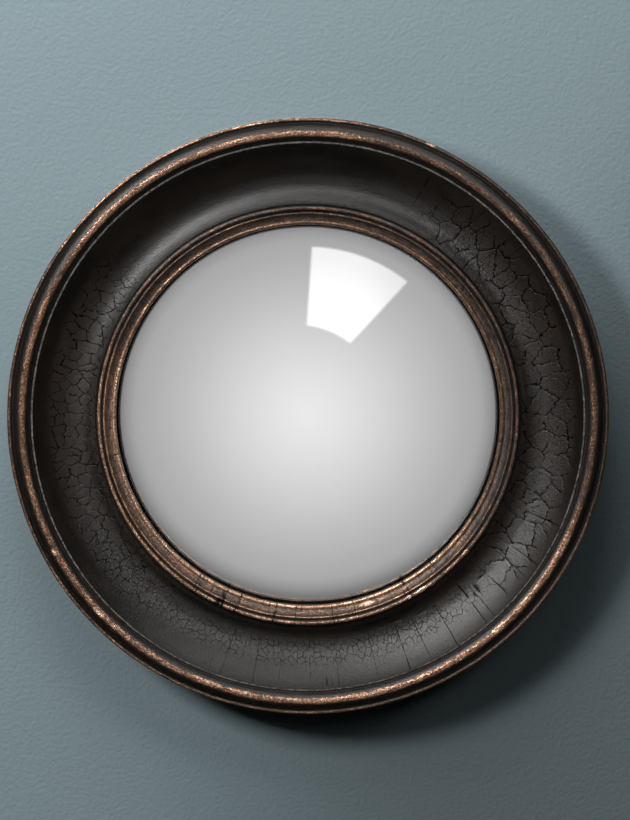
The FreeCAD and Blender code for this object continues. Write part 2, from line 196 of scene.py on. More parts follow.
def blendRange(tree, value, low, high, first=0.0, last=1.0):
    # smooth step from low to high
    node = addNode(tree, "ShaderNodeMapRange", interpolation_type="SMOOTHSTEP")
    for name, item in (("Value", value), ("From Min", low), ("From Max", high),
                       ("To Min", first), ("To Max", last)):
        feed(tree, node.inputs[name], item)
    return node.outputs["Result"]


def mixColour(tree, factor, first, second, blend="MIX"):
    node = addNode(tree, "ShaderNodeMix", data_type="RGBA", blend_type=blend)
    feed(tree, node.inputs["Factor"], factor)
    feed(tree, node.inputs[6], first)
    feed(tree, node.inputs[7], second)
    return node.outputs[2]


def ramp(tree, value, stops):
    # stops are (place, grey) or (place, (r, g, b))
    node = addNode(tree, "ShaderNodeValToRGB")
    elements = node.color_ramp.elements
    while len(elements) < len(stops):
        elements.new(0.5)
    for element, (at, shade) in zip(elements, stops):
        element.position = at
    for element, (at, shade) in zip(elements, stops):
        element.color = (*shade, 1) if isinstance(shade, tuple) else (shade, shade, shade, 1)
    feed(tree, node.inputs["Fac"], value)
    return node.outputs["Color"]


def noise(tree, vector, scale, detail=2.0, rough=0.5, w=None, output="Fac"):
    node = addNode(tree, "ShaderNodeTexNoise", noise_dimensions="4D" if w is not None else "3D")
    feed(tree, node.inputs["Vector"], vector)
    feed(tree, node.inputs["Scale"], scale)
    feed(tree, node.inputs["Detail"], detail)
    feed(tree, node.inputs["Roughness"], rough)
    if w is not None:
        feed(tree, node.inputs["W"], w)
    return node.outputs[output]


def shadeGroup(name, inputs, outputs):
    # inputs are (name, default), outputs are (name, type)
    tree = bpy.data.node_groups.new(name, "ShaderNodeTree")
    for label, default in inputs:
        socket = tree.interface.new_socket(label, in_out="INPUT", socket_type="NodeSocketFloat")
        socket.default_value = default
    for label, kind in outputs:
        tree.interface.new_socket(label, in_out="OUTPUT", socket_type="NodeSocket" + kind)
    return tree, addNode(tree, "NodeGroupInput").outputs, addNode(tree, "NodeGroupOutput").inputs


def place(tree, group, **values):
    node = addNode(tree, "ShaderNodeGroup", node_tree=group)
    for name, value in values.items():
        feed(tree, node.inputs[name], value)
    return node.outputs


def showWhere(tree, mask, surface):
    # the surface where the mask is 1, and nothing where it is 0
    mix = addNode(tree, "ShaderNodeMixShader")
    feed(tree, mix.inputs[0], mask)
    feed(tree, mix.inputs[1], addNode(tree, "ShaderNodeBsdfTransparent").outputs[0])
    feed(tree, mix.inputs[2], surface)
    feed(tree, tree.nodes["Material Output"].inputs["Surface"], mix.outputs[0])


def newMaterial(name):
    material = bpy.data.materials.new(name)
    material.use_nodes = True
    tree = material.node_tree
    return material, tree, tree.nodes["Principled BSDF"].inputs


def bump(tree, height, strength, distance):
    node = addNode(tree, "ShaderNodeBump")
    feed(tree, node.inputs["Height"], height)
    feed(tree, node.inputs["Strength"], strength)
    feed(tree, node.inputs["Distance"], distance * mm)
    return node.outputs["Normal"]


# camera, a little above the middle, as in the photograph

camera = {"distance": 4.5, "elevation": 7.5, "lens": 310.7, "aimRight": 4.4, "aimUp": 0.2}

elevation = math.radians(camera["elevation"])
aim = Vector((camera["aimRight"] * mm, 0, camera["aimUp"] * mm))
back = Vector((0, -math.cos(elevation), math.sin(elevation)))
bpy.ops.object.camera_add(location=aim + back * camera["distance"],
                          rotation=(math.pi / 2 - elevation, 0, 0))
cameraObject = bpy.context.object
cameraObject.data.lens = camera["lens"]
cameraObject.data.clip_start, cameraObject.data.clip_end = 0.1, 30
bpy.context.scene.camera = cameraObject
bpy.context.scene.view_settings.view_transform = "Standard"
print("camera placed")


# stage: a pale floor below, and a blue-grey wall with painted shade towards its lower right, which shows only
# from in front

stage = {"wallWidth": 5.0, "holeRadius": 175.0, "wallGap": 0.6, "floorDrop": 1.1, "floorSize": 4.0,
         "wallColour": (0.250, 0.330, 0.356), "floorColour": (0.62, 0.62, 0.60),
         "wallRoughness": 0.85, "floorRoughness": 0.8,
         "stippleScale": 430, "stippleBump": (0.45, 0.9),         # strength, height in mm
         # painted shade: the wall's colour darkens towards the lower right, a painted falloff of the light:
         # direction, then start, end, shade there and beyond
         "paintedShadeAlong": (-0.83, 0.0, 0.55), "paintedShadeRange": (-0.24, -0.02, 0.56, 1.0)}


def hideFromLight(obj):
    # the camera sees it, and it takes shadows, but nothing is lit or mirrored by it
    obj.visible_diffuse = obj.visible_glossy = obj.visible_transmission = False
    obj.visible_shadow = False


def wallPaintAndShade():
    material, tree, shader = newMaterial("wallPaintAndShade")
    spot = objectPlace(tree)
    # painted shade: the wall colour is multiplied down towards the lower right, standing in for light that
    # falls off there
    slope = dot(tree, spot, stage["paintedShadeAlong"])
    shade = blendRange(tree, slope, *stage["paintedShadeRange"])
    feed(tree, shader["Base Color"], mixColour(tree, 1.0, shade, (*stage["wallColour"], 1), "MULTIPLY"))
    feed(tree, shader["Roughness"], stage["wallRoughness"])
    stipple = noise(tree, spot, stage["stippleScale"], 2, 0.5)
    feed(tree, shader["Normal"], bump(tree, stipple, *stage["stippleBump"]))
    rays = addNode(tree, "ShaderNodeLightPath").outputs["Is Camera Ray"]
    behind = addNode(tree, "ShaderNodeNewGeometry").outputs["Backfacing"]
    shown = times(tree, rays, calc(tree, "SUBTRACT", 1.0, behind))
    showWhere(tree, shown, tree.nodes["Principled BSDF"].outputs[0])
    return material


clearSelection()
bpy.ops.mesh.primitive_circle_add(vertices=128, radius=stage["holeRadius"] * mm, fill_type="NOTHING",
                                  location=(0, stage["wallGap"] * mm, 0), rotation=(math.pi / 2, 0, 0))
wall = bpy.context.object
wall.name = "backdropWall"
bpy.ops.object.mode_set(mode="EDIT")
selectAll()
bpy.ops.mesh.extrude_edges_move()
grow = stage["wallWidth"] / (2 * stage["holeRadius"] * mm)
bpy.ops.transform.resize(value=(grow, grow, grow))
bpy.ops.object.mode_set(mode="OBJECT")
wall.data.materials.append(wallPaintAndShade())
finishMesh(wall, 30)
if wall.data.polygons[0].normal.y > 0:
    wall.data.flip_normals()
hideFromLight(wall)

clearSelection()
bpy.ops.mesh.primitive_plane_add(size=stage["floorSize"], location=(0, 0, -stage["floorDrop"]))
floor = bpy.context.object
floor.name = "studioFloor"
floorMaterial, floorTree, floorShader = newMaterial("floorPaint")
feed(floorTree, floorShader["Base Color"], (*stage["floorColour"], 1))
feed(floorTree, floorShader["Roughness"], stage["floorRoughness"])
floor.data.materials.append(floorMaterial)
finishMesh(floor, 30)
hideFromLight(floor)


# light: a window for the glass, and soft boxes as place, size in m, power in W, and what they shine on:
# the turned rings, the others or all but the glass

lights = {
    "leftBox": ((-1.05, -1.2, 0.72), 0.42, 18.5, "others"),
    "topBox": ((-0.15, -0.55, 1.15), 0.8, 10.0, "others"),
    "fillBox": ((1.20, -1.30, 1.05), 0.5, 2.8, "others"),
    "backBox": ((-0.5, 1.9, 0.9), 1.2, 22.0, "all"),
    "sheenWindow": ((0.43, -2.1, 0.75), 0.7, 16.0, "rings"),
    "sheenFront": ((-0.809, -1.761, 0.809), 0.34, 15.0, "rings"),
    "sheenCorner": ((-1.138, -1.350, 1.138), 0.42, 10.5, "rings"),
    "sheenLeft": ((-1.22, -1.56, 0.70), 0.42, 4.5, "rings"),
    "sheenUpper": ((-0.91, -1.05, 1.57), 0.42, 6.3, "rings"),
    "sheenTop": ((0.0, -1.05, 1.82), 0.42, 5.0, "rings"),
    "sheenRight": ((0.95, -0.75, 1.68), 0.42, 5.0, "rings"),
    "sheenLow": ((-0.444, -1.903, -0.769), 0.42, 2.2, "rings"),
}
# the window is a sector of a ring on a plane in front of the mirror, with soft edges; (across, up)
window = {"distance": 2.1, "panelMiddle": (0.43, 0.75), "panelSize": 1.3, "brightness": 1.17, "soft": 0.034,
          "outerMiddle": (-0.006, -0.228), "outerRadius": 1.400,
          "innerMiddle": (-0.100, -0.228), "innerRadius": 0.704,
          "leftSide": ((0.032, 1.173), (-0.010, 0.473)), "rightSide": ((0.335, 0.327), (0.864, 0.868)),
          # it dims outwards and to the right: start, end, share of the brightness there and beyond
          "dimOutwards": (0.75, 1.5, 1.0, 0.80), "dimRight": (0.35, 0.95, 1.0, 0.88)}

boxes = []
for name, (spot, size, power, target) in lights.items():
    turn = (-Vector(spot)).to_track_quat("-Z", "Y").to_euler()
    bpy.ops.object.light_add(type="AREA", location=spot, rotation=turn)
    lamp = bpy.context.object
    lamp.name = name
    lamp.data.size, lamp.data.energy = size, power
    lamp.visible_camera = False
    boxes.append((lamp, target))


def windowLight():
    material, tree, shader = newMaterial("windowLight")
    across, depth, up = split(tree, objectPlace(tree))
    flat = combine(tree, across, up, 0.0)
    half = window["soft"] / 2

    def farFrom(middle):
        return vectorCalc(tree, "LENGTH", vectorCalc(tree, "SUBTRACT", flat, (*middle, 0.0)))

    def insideSide(start, end):
        run = Vector(end) - Vector(start)
        normal = Vector((run.y, -run.x)).normalized()
        reach = calc(tree, "SUBTRACT", dot(tree, flat, (*normal, 0.0)), normal.dot(Vector(start)))
        return blendRange(tree, reach, -half, half, 1.0, 0.0)

    outer, inner = farFrom(window["outerMiddle"]), farFrom(window["innerMiddle"])
    outerRadius, innerRadius = window["outerRadius"], window["innerRadius"]
    mask = times(tree, blendRange(tree, outer, outerRadius - half, outerRadius + half, 1.0, 0.0),
                 blendRange(tree, inner, innerRadius - half, innerRadius + half))
    mask = times(tree, mask, insideSide(*window["leftSide"]))
    mask = times(tree, mask, insideSide(*window["rightSide"]))
    glow = times(tree, blendRange(tree, outer, *window["dimOutwards"]),
                 blendRange(tree, across, *window["dimRight"]))
    light = addNode(tree, "ShaderNodeEmission")
    feed(tree, light.inputs["Strength"], times(tree, glow, window["brightness"]))
    showWhere(tree, mask, light.outputs[0])
    return material


clearSelection()
panelAcross, panelUp = window["panelMiddle"]
bpy.ops.mesh.primitive_plane_add(size=window["panelSize"], location=(panelAcross, -window["distance"], panelUp),
                                 rotation=(-math.pi / 2, 0, 0))
windowPanel = bpy.context.object
windowPanel.name = "windowPanel"
windowPanel.data.materials.append(windowLight())
finishMesh(windowPanel, 30)
windowPanel.visible_camera = windowPanel.visible_shadow = False


# what the domed glass mirrors is bright; the frame and the wall are lit by a dimmer room
room = {"tilt": -6.43,
        # brightness in the glass, by the degrees from an axis with that tilt
        "mirrored": ((0, 0.93), (8.1, 0.84), (16.2, 0.715), (24.3, 0.58), (32.5, 0.465), (34.9, 0.44),
                     (36.9, 0.345), (38.6, 0.22), (41.5, 0.12), (60, 0.12), (90, 0.16), (180, 0.2)),
        # the dim light comes from the upper left: direction, then start, end, brightness there and beyond
        "dimFrom": (-0.35, -0.15, 0.92), "dim": (0.45, 1.0, 0.008, 0.28),
        "backdrop": (0.55, 0.57, 0.58)}


def softRoom():
    world = bpy.data.worlds.new("softRoom")
    bpy.context.scene.world = world
    world.use_nodes = True
    tree = world.node_tree
    tree.nodes.clear()
    direction = addNode(tree, "ShaderNodeTexCoord").outputs["Generated"]
    tilt = math.radians(room["tilt"])
    toAxis = calc(tree, "ARCCOSINE", dot(tree, direction, (0.0, -math.cos(tilt), math.sin(tilt))))
    stops = [(angle / 180, grey) for angle, grey in room["mirrored"]]
    mirrored = ramp(tree, calc(tree, "DIVIDE", toAxis, math.pi), stops)
    around = blendRange(tree, dot(tree, direction, room["dimFrom"]), *room["dim"])
    rays = addNode(tree, "ShaderNodeLightPath").outputs
    glow = mixColour(tree, calc(tree, "GREATER_THAN", rays["Transmission Depth"], 0.5), around, mirrored)
    sky = addNode(tree, "ShaderNodeBackground")
    feed(tree, sky.inputs["Color"], mixColour(tree, rays["Is Camera Ray"], glow, (*room["backdrop"], 1)))
    feed(tree, addNode(tree, "ShaderNodeOutputWorld").inputs["Surface"], sky.outputs[0])


softRoom()
print("stage and lights placed")


# places on a ring, cracks and zones, the same in shaders and in the relief of the meshes

def ringPlace(tree, position):
    # distance from the axis, direction round the ring, and depth, in mm
    x, y, z = split(tree, position)
    flat = combine(tree, x, 0.0, z)
    radius = times(tree, vectorCalc(tree, "LENGTH", flat), 1 / mm)
    return radius, vectorCalc(tree, "NORMALIZE", flat), times(tree, y, -1 / mm)


def strongest(tree, *values):
    total = values[0]
    for value in values[1:]:
        total = calc(tree, "MAXIMUM", total, value)
    return total


def sector(tree, turn, angle, half, soft):
    a = math.radians(angle)
    facing = dot(tree, turn, (math.cos(a), 0.0, math.sin(a)))
    return blendRange(tree, facing, math.cos(math.radians(half + soft)), math.cos(math.radians(half)))


def sectors(tree, turn, zones):
    # strongest of several zones, each (angle, half width, softness, strength)
    return strongest(tree, *[times(tree, sector(tree, turn, *zone[:3]), zone[3]) for zone in zones])


def band(tree, radius, low, high, soft):
    inner = blendRange(tree, radius, low - soft, low)
    outer = blendRange(tree, radius, high, high + soft, 1.0, 0.0)
    return times(tree, inner, outer)


def crackDistance(tree, radius, turn, look):
    # mm to the nearest crack; stretch under 1 makes the cells longer across the ring
    shifted = calc(tree, "SUBTRACT", radius, look["middle"])
    squeezed = timesPlus(tree, shifted, look["stretch"], look["middle"])
    flat = scaled(tree, turn, squeezed)
    wobble = noise(tree, flat, 1 / (look["cell"] * look["wobbleSize"]), 3, 0.6, output="Color")
    wobble = vectorCalc(tree, "SUBTRACT", wobble, (0.5, 0.5, 0.5))
    wobble = scaled(tree, wobble, look["ragged"] * look["cell"])
    flat = vectorCalc(tree, "ADD", flat, wobble)
    x, y, z = split(tree, flat)
    cells = addNode(tree, "ShaderNodeTexVoronoi", voronoi_dimensions="2D", feature="DISTANCE_TO_EDGE")
    feed(tree, cells.inputs["Vector"], combine(tree, x, z, 0.0))
    feed(tree, cells.inputs["Scale"], 1 / look["cell"])
    return times(tree, cells.outputs["Distance"], look["cell"])


# what all cracks share: where they break off (noise scale, start, end), how much narrower they get
# there, and how far their full depth and their curled lip reach, in crack widths
crackShape = {"breakScale": 0.16, "breakRange": (0.52, 0.66), "breakShare": 0.8, "core": 0.35, "lipReach": 4.0}


def cracks(tree, radius, turn, look, width=1.0):
    # how far a place lies in a crack, in the curled lip beside one, and in the zone of such cracks
    near = crackDistance(tree, radius, turn, look)
    flat = scaled(tree, turn, radius)
    breaks = noise(tree, flat, crackShape["breakScale"], 2, 0.5)
    broken = blendRange(tree, breaks, *crackShape["breakRange"], 0.0, look["width"] * crackShape["breakShare"])
    near = calc(tree, "ADD", near, broken)
    reach = look["width"] * width
    line = blendRange(tree, near, reach * crackShape["core"], reach, 1.0, 0.0)
    lip = blendRange(tree, near, reach, reach * crackShape["lipReach"], 1.0, 0.0)
    lip = calc(tree, "SUBTRACT", lip, line, clamp=True)
    where = sectors(tree, turn, look["zones"])
    if "band" in look:
        where = times(tree, where, band(tree, radius, *look["band"]))
    return times(tree, line, where), times(tree, lip, where), where


def ringNoise(tree, radius, turn, depth, along, across, detail=2.0, rough=0.5):
    # noise whose grains are this long round the ring and this wide across it, in mm
    middleRadius = 150
    vector = scaled(tree, turn, middleRadius / along)
    outwards = combine(tree, 0.0, times(tree, radius, 1 / across), 0.0)
    vector = vectorCalc(tree, "ADD", vector, outwards)
    return noise(tree, vector, 1.0, detail, rough, times(tree, depth, 1 / across))


# the three rings

beadRing = {
    "steps": 1104,
    "bead": {"middle": (181.0, 34.4), "radius": 5.6, "steps": 44},
    "lip": {"middle": (188.55, 34.55), "radius": 1.45, "steps": 14},
    "innerRadius": 175.4, "jointDepth": 12.0, "grooveFloor": 33.4,
    "outerFoot": (186.589, 12.0),
    "wave": 0.16, "lumps": 0.10, "grain": 0.03,
    # angle, radius, half length, half width, depth
    "dents": [(207.5, 181.6, 2.2, 1.5, 0.55), (208.9, 182.6, 1.2, 1.0, 0.35), (223.0, 181.0, 4.5, 1.7, 0.45),
              (311.5, 180.4, 2.4, 1.6, 0.35), (316.0, 181.8, 3.0, 1.6, 0.4), (321.0, 180.6, 2.0, 1.4, 0.3),
              (326.0, 181.6, 2.6, 1.5, 0.35), (302.0, 181.0, 2.6, 1.3, 0.25), (333.0, 180.8, 1.8, 1.3, 0.25),
              (66.0, 189.2, 3.4, 1.1, 0.5), (69.5, 189.4, 1.8, 0.9, 0.4), (78.0, 181.6, 2.0, 1.2, 0.25),
              (84.0, 189.3, 1.6, 0.9, 0.3), (12.0, 182.2, 2.5, 1.5, 0.3), (24.0, 180.2, 2.0, 1.2, 0.25),
              (135.0, 189.4, 2.0, 0.8, 0.25), (188.0, 189.4, 1.4, 0.8, 0.35), (256.0, 182.0, 1.8, 1.2, 0.2)],
}
coveRing = {
    "steps": 1200,
    "rebateRadius": 130.0, "seatDepth": 22.0, "jointDepth": 12.0,
    "wallRadius": 134.3, "innerEnd": (134.3, 26.0), "outerEnd": (173.8, 35.4),
    "low": (146.4, 20.5), "bend": (21.0, 22.0),
    "filletOuter": 175.2, "edgeBreak": 0.4,
    "wave": 0.14, "lumps": 0.07, "grain": 0.02,
    "dents": [(313.9, 154.6, 1.5, 4.2, 0.5), (312.6, 156.4, 1.2, 2.8, 0.35), (316.4, 151.2, 3.0, 1.2, 0.3),
              (300.0, 146.0, 6.0, 1.6, 0.3), (293.0, 143.6, 5.0, 1.4, 0.3)],
}
slipRing = {
    "steps": 1104,
    "seatRadius": 127.2, "seatDepth": 22.0, "outerRadius": 134.2,
    "wideReed": {"middle": (132.25, 28.3), "radius": 1.95, "steps": 22},
    "narrowReed": {"middle": (129.0, 28.0), "radius": 1.0, "steps": 14},
    "groove": (130.0, 130.3, 27.5),
    "hollowSag": 0.6,
    "sightLip": {"middle": (122.9, 25.0), "radius": 1.6, "steps": 20},
    "skirt": (121.9, 23.3), "skirtBevel": 0.04, "seatSphere": 377.0,
    "wave": 0.10, "lumps": 0.08, "grain": 0.03,
    "dents": [(303.0, 132.6, 2.4, 1.4, 0.55), (306.5, 133.0, 1.6, 1.2, 0.4), (319.0, 132.8, 2.0, 1.3, 0.45),
              (299.0, 132.2, 1.4, 1.0, 0.35), (312.0, 123.0, 2.6, 0.9, 0.25), (196.0, 133.2, 2.2, 1.0, 0.3),
              (283.0, 133.2, 1.6, 1.0, 0.3)],
}
domeCentre = -332.886         # depth of the centre of the glass's spheres

# cracks in the lacquer: big cells left and right, long checks and fine crazing below
leftCells = {"cell": 6.6, "stretch": 0.8, "middle": 150.0, "ragged": 0.6, "wobbleSize": 0.45, "width": 0.42,
             "zones": [(172, 22, 14, 1.0), (212, 12, 14, 0.8)], "band": (138.0, 161.0, 6.0)}
rightCells = {"cell": 11.5, "stretch": 0.85, "middle": 150.0, "ragged": 0.5, "wobbleSize": 0.4, "width": 0.52,
              "zones": [(8, 44, 12, 1.0)], "band": (137.5, 166.0, 5.0)}
rightCrazing = {"cell": 5.2, "stretch": 0.6, "middle": 150.0, "ragged": 0.6, "wobbleSize": 0.5, "width": 0.30,
                "zones": [(14, 36, 14, 0.55)], "band": (138.0, 158.0, 8.0)}
coveChecks = {"cell": 19.0, "stretch": 0.03, "middle": 150.0, "ragged": 0.42, "wobbleSize": 0.5,
              "width": 0.24, "zones": [(308, 26, 10, 1.0), (268, 16, 12, 0.6), (50, 14, 12, 0.5)],
              "band": (147.0, 171.0, 5.0)}
lowCrazing = {"cell": 3.6, "stretch": 0.8, "middle": 150.0, "ragged": 0.5, "wobbleSize": 0.6, "width": 0.22,
              "zones": [(262, 44, 14, 0.8)], "band": (147.0, 158.0, 5.0)}
slipChecks = {"cell": 9.0, "stretch": 0.03, "middle": 128.0, "ragged": 0.25, "wobbleSize": 0.5, "width": 0.22,
              "zones": [(245, 62, 12, 1.0), (320, 30, 12, 0.6)]}


def beadOutline(look):
    bead, lip = look["bead"], look["lip"]
    foot, groove, inner = look["outerFoot"], look["grooveFloor"], look["innerRadius"]
    beadOuter = bead["middle"][0] + bead["radius"]
    lipInner, lipOuter = lip["middle"][0] - lip["radius"], lip["middle"][0] + lip["radius"]
    return joinPoints(
        straight((inner, look["jointDepth"]), (inner, bead["middle"][1]), 6),
        curve(bead["middle"], bead["radius"], 180, 0, bead["steps"]),
        straight((beadOuter, bead["middle"][1]), (beadOuter, groove), 2),
        straight((beadOuter, groove), (lipInner, groove), 2),
        straight((lipInner, groove), (lipInner, lip["middle"][1]), 2),
        curve(lip["middle"], lip["radius"], 180, 0, lip["steps"]),
        straight((lipOuter, lip["middle"][1]), foot, 10),
        straight(foot, (inner, look["jointDepth"]), 3))[:-1]


def hollowPoints(low, end, steps):
    # arc that lies flat at its low point, from there to its end
    run, rise = end[0] - low[0], end[1] - low[1]
    radius = (run * run + rise * rise) / (2 * rise)
    sweep = math.degrees(math.asin(run / radius))
    return curve((low[0], low[1] + radius), radius, -90, -90 + sweep, steps)


def slopePoints(low, bend, end, steps):
    # from the low point a tight bend (radius, turn in degrees), then a slow arc up to the end
    radius, turn = bend
    first = curve((low[0], low[1] + radius), radius, -90, -90 + turn, steps // 3)
    start = first[-1]
    chord = math.degrees(math.atan2(end[1] - start[1], end[0] - start[0]))
    half = math.radians(chord - turn)
    slow = math.dist(start, end) / (2 * math.sin(half))
    a = math.radians(turn)
    middle = (start[0] - slow * math.sin(a), start[1] + slow * math.cos(a))
    return first + curve(middle, slow, -90 + turn, -90 + 2 * chord - turn, steps - steps // 3)[1:]


def coveOutline(look):
    outer, edge, top = look["filletOuter"], look["edgeBreak"], look["outerEnd"][1]
    joint, seat, wallRadius = look["jointDepth"], look["seatDepth"], look["wallRadius"]
    rebate = look["rebateRadius"]
    return joinPoints(
        straight((rebate, joint), (outer, joint), 3),
        straight((outer, joint), (outer, top - edge), 4),
        curve((outer - edge, top - edge), edge, 0, 90, 4),
        straight((outer - edge, top), look["outerEnd"], 3),
        slopePoints(look["low"], look["bend"], look["outerEnd"], 36)[::-1],
        hollowPoints(look["low"], look["innerEnd"], 20),
        straight(look["innerEnd"], (wallRadius, seat), 3),
        straight((wallRadius, seat), (rebate, seat), 1),
        straight((rebate, seat), (rebate, joint), 1))[:-1]


def seatDepthAt(look, radius):
    return domeCentre + math.sqrt(look["seatSphere"] ** 2 - radius ** 2)


def slipOutline(look):
    wide, narrow, lip = look["wideReed"], look["narrowReed"], look["sightLip"]
    outer, seatRadius, seatDepth = look["outerRadius"], look["seatRadius"], look["seatDepth"]
    skirtRadius, skirtDepth = look["skirt"]
    skirtEdge = (skirtRadius, skirtDepth - look["skirtBevel"])
    grooveIn, grooveOut, floorDepth = look["groove"]
    narrowIn = narrow["middle"][0] - narrow["radius"]
    lipOut, lipIn = lip["middle"][0] + lip["radius"], lip["middle"][0] - lip["radius"]
    start, end = (narrowIn, narrow["middle"][1]), (lipOut, lip["middle"][1])
    hollow = []
    for step in range(9):
        share = step / 8
        sag = look["hollowSag"] * 4 * share * (1 - share) / math.dist(start, end)
        hollow.append((start[0] + (end[0] - start[0]) * share + sag * (start[1] - end[1]),
                       start[1] + (end[1] - start[1]) * share - sag * (start[0] - end[0])))
    seat = [skirtRadius + (seatRadius - skirtRadius) * s / 6 for s in range(7)]
    return joinPoints(
        straight((seatRadius, seatDepth), (outer, seatDepth), 2),
        straight((outer, seatDepth), (outer, wide["middle"][1]), 5),
        curve(wide["middle"], wide["radius"], 0, 180, wide["steps"]),
        straight((grooveOut, wide["middle"][1]), (grooveOut, floorDepth), 1),
        straight((grooveOut, floorDepth), (grooveIn, floorDepth), 1),
        straight((grooveIn, floorDepth), (grooveIn, narrow["middle"][1]), 1),
        curve(narrow["middle"], narrow["radius"], 0, 180, narrow["steps"]),
        hollow,
        curve(lip["middle"], lip["radius"], 0, 180, lip["steps"]),
        straight((lipIn, lip["middle"][1]), (lipIn, skirtDepth), 4),
        straight((lipIn, skirtDepth), skirtEdge, 1),
        straight(skirtEdge, (skirtRadius, seatDepthAt(look, lipIn)), 1),
        [(radius, seatDepthAt(look, radius)) for radius in seat])[:-1]


# relief of all rings: noises as (length round the ring, width across it, detail), cracks wider than
# in the finish so that the mesh can hold them, and the depth over which the relief fades out
relief = {"wave": (26, 14, 1), "lumps": (5, 3, 2), "grain": (1.6, 1.0, 1), "crackWidth": 1.8, "fade": 1.5}


def addRelief(obj, look, crackSets, lowDepth):
    # sinks the surface by waves, lumps and cracks, never above the drawn section
    tree = bpy.data.node_groups.new(obj.name + "Relief", "GeometryNodeTree")
    tree.interface.new_socket("Geometry", in_out="INPUT", socket_type="NodeSocketGeometry")
    tree.interface.new_socket("Geometry", in_out="OUTPUT", socket_type="NodeSocketGeometry")
    source = addNode(tree, "NodeGroupInput").outputs[0]
    target = addNode(tree, "NodeGroupOutput").inputs[0]
    position = addNode(tree, "GeometryNodeInputPosition").outputs[0]
    radius, turn, depth = ringPlace(tree, position)
    sink = 0.0
    for part in ("wave", "lumps", "grain"):
        rise = ringNoise(tree, radius, turn, depth, *relief[part])
        sink = timesPlus(tree, rise, look[part], sink)
    for crackLook, crackDepth in crackSets:
        line = cracks(tree, radius, turn, crackLook, relief["crackWidth"])[0]
        sink = timesPlus(tree, line, crackDepth, sink)
    sink = times(tree, sink, blendRange(tree, depth, lowDepth, lowDepth + relief["fade"]))
    normal = addNode(tree, "GeometryNodeInputNormal").outputs[0]
    move = addNode(tree, "GeometryNodeSetPosition")
    feed(tree, move.inputs["Geometry"], source)
    feed(tree, move.inputs["Offset"], scaled(tree, normal, times(tree, sink, -mm)))
    feed(tree, target, move.outputs[0])
    activate(obj)
    modifier = obj.modifiers.new("relief", "NODES")
    modifier.node_group = tree
    bpy.ops.object.modifier_apply(modifier="relief")


def pressDents(obj, dents):
    # knocks and chips: an oval hollow pressed in along the surface's normals, on the front alone
    frontDepth = 15.0
    for angle, radius, halfLength, halfWidth, depth in dents:
        a = math.radians(angle)
        outward, alongRing = Vector((math.cos(a), 0, math.sin(a))), Vector((-math.sin(a), 0, math.cos(a)))
        reach = max(halfLength, halfWidth) * mm
        middle = outward * radius * mm
        for vertex in obj.data.vertices:
            offset = Vector((vertex.co.x, 0, vertex.co.z)) - middle
            if offset.length_squared > reach * reach or -vertex.co.y < frontDepth * mm:
                continue
            along, across = offset.dot(alongRing) / (halfLength * mm), offset.dot(outward) / (halfWidth * mm)
            near = along ** 2 + across ** 2
            if near < 1:
                vertex.co -= vertex.normal * (depth * mm * (1 - near) ** 2)


def makeRing(name, node, outline, look, crackSets, lowDepth):
    obj = turnSection(name, outline, look["steps"])
    addRelief(obj, look, crackSets, lowDepth)
    pressDents(obj, look["dents"])
    finishMesh(obj, 42)
    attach(obj, "frame")
    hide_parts(node)
    print(name, "turned,", len(obj.data.polygons), "faces")
    return obj


bead = makeRing("beadRing", "bead_ring", beadOutline(beadRing), beadRing, [], 20.0)
cove = makeRing("coveRing", "cove_ring", coveOutline(coveRing), coveRing,
                [(leftCells, 0.07), (rightCells, 0.12), (coveChecks, 0.06)], 19.0)
slip = makeRing("slipRing", "slip_ring", slipOutline(slipRing), slipRing, [(slipChecks, 0.07)], 24.3)


# glass and silvering: two domes about one centre

glass = {"radius": 127.0, "frontSphere": 376.0, "backSphere": 373.0, "edgeBreak": 0.25,
         "rings": 40, "steps": 256,
         # haze: start, end, roughness there and beyond
         "ior": 1.5, "hazeScale": 60, "haze": (0.5, 0.9, 0.0, 0.015)}
silver = {"radius": 126.6, "frontSphere": 372.95, "backSphere": 372.7, "rings": 40, "steps": 256,
          "colour": (0.955, 0.955, 0.955), "mottled": (0.93, 0.93, 0.93),
          "mottleScale": 40, "haze": (0.3, 0.8, 0.008, 0.02)}


def domePoints(sphere, start, end, steps):
    radii = [start + (end - start) * s / steps for s in range(steps + 1)]
    return [(radius, domeCentre + math.sqrt(sphere ** 2 - radius ** 2)) for radius in radii]


def makeDome(name, node, look):
    edge = look.get("edgeBreak", 0.0)
    front = domePoints(look["frontSphere"], 0.0, look["radius"] - edge, look["rings"])
    behind = domePoints(look["backSphere"], look["radius"] - edge, 0.0, look["rings"])
    rim = []
    if edge:
        rim = [(look["radius"], front[-1][1] - edge), (look["radius"], behind[0][1] + edge)]
    obj = turnSection(name, front + rim + behind, look["steps"], closed=False)
    finishMesh(obj, 35)
    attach(obj, "frame")
    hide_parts(node)
    return obj


glassDome = makeDome("glassDome", "convex_glass", glass)
silverDome = makeDome("silverDome", "silver_coat", silver)
print("glass and silvering turned")


# shared effects of the materials

def makePlaceGroup():
    tree, given, result = shadeGroup("ringPlace", [], [("Radius", "Float"), ("Depth", "Float"),
                                                       ("Turn", "Vector")])
    radius, turn, depth = ringPlace(tree, objectPlace(tree))
    feed(tree, result["Radius"], radius)
    feed(tree, result["Depth"], depth)
    feed(tree, result["Turn"], turn)
    return tree


placeGroup = makePlaceGroup()

